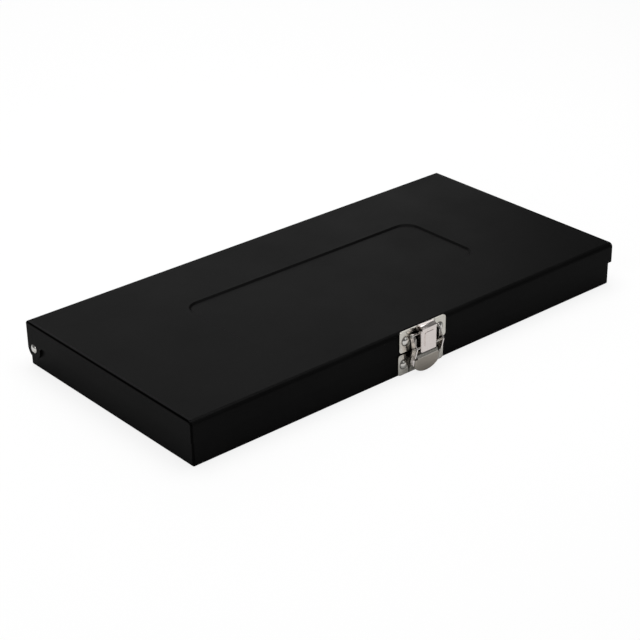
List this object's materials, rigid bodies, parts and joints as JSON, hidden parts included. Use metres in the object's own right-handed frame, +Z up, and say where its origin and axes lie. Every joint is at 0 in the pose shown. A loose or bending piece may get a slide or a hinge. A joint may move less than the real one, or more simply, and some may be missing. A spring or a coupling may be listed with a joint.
{
  "type": "socket organizer case",
  "caption": "Flat black sheet-steel case with a pivoted lid, an over-centre draw latch, and lengthwise lanes and notched rests inside for sockets and handles.",
  "frame": {"origin": "centre of the underside of the case", "axes": "+X to the right along the length, -Y towards the latch, +Z up"},
  "size_m": [0.3774, 0.1863, 0.0345],
  "materials": {
    "black_coat": "satin black powder coat",
    "nickel_plate": "satin nickel plate on pressed steel",
    "bright_rivet": "bright nickel plate",
    "zinc_washer": "zinc plate"
  },
  "bodies": {
    "case": {"base_tray": "black_coat", "organizer_rail_1": "black_coat", "organizer_rail_2": "black_coat", "organizer_rail_3": "black_coat", "handle_rest_left": "black_coat", "handle_rest_right": "black_coat", "pivot_rivet_left": "bright_rivet", "pivot_rivet_right": "bright_rivet", "pivot_washer_left": "zinc_washer", "pivot_washer_right": "zinc_washer", "latch_base_plate": "nickel_plate", "latch_rivet_left": "bright_rivet", "latch_rivet_right": "bright_rivet", "lever_pin": "bright_rivet"},
    "lid": {"lid_shell": "black_coat", "keeper_plate": "nickel_plate", "keeper_rivet_left": "bright_rivet", "keeper_rivet_right": "bright_rivet"},
    "lever": {"latch_lever": "nickel_plate", "claw_pin": "bright_rivet"},
    "claw": {"latch_claw": "nickel_plate"}
  },
  "joints": [
    {"name": "lid_hinge", "type": "hinge", "parent": "case", "child": "lid", "pos_m": [0, 0.082, 0.014], "axis": [-1, 0, 0], "range_deg": [0, 110]},
    {"name": "lever_pivot", "type": "hinge", "parent": "case", "child": "lever", "pos_m": [0, -0.0919, 0.0284], "axis": [-1, 0, 0], "range_deg": [0, 125]},
    {"name": "claw_pivot", "type": "hinge", "parent": "lever", "child": "claw", "pos_m": [0, -0.0943, 0.019], "axis": [-1, 0, 0], "range_deg": [-125, 0]}
  ],
  "couplings": [
    {"joint": "claw_pivot", "follows": "lever_pivot", "ratio": -1}
  ]
}
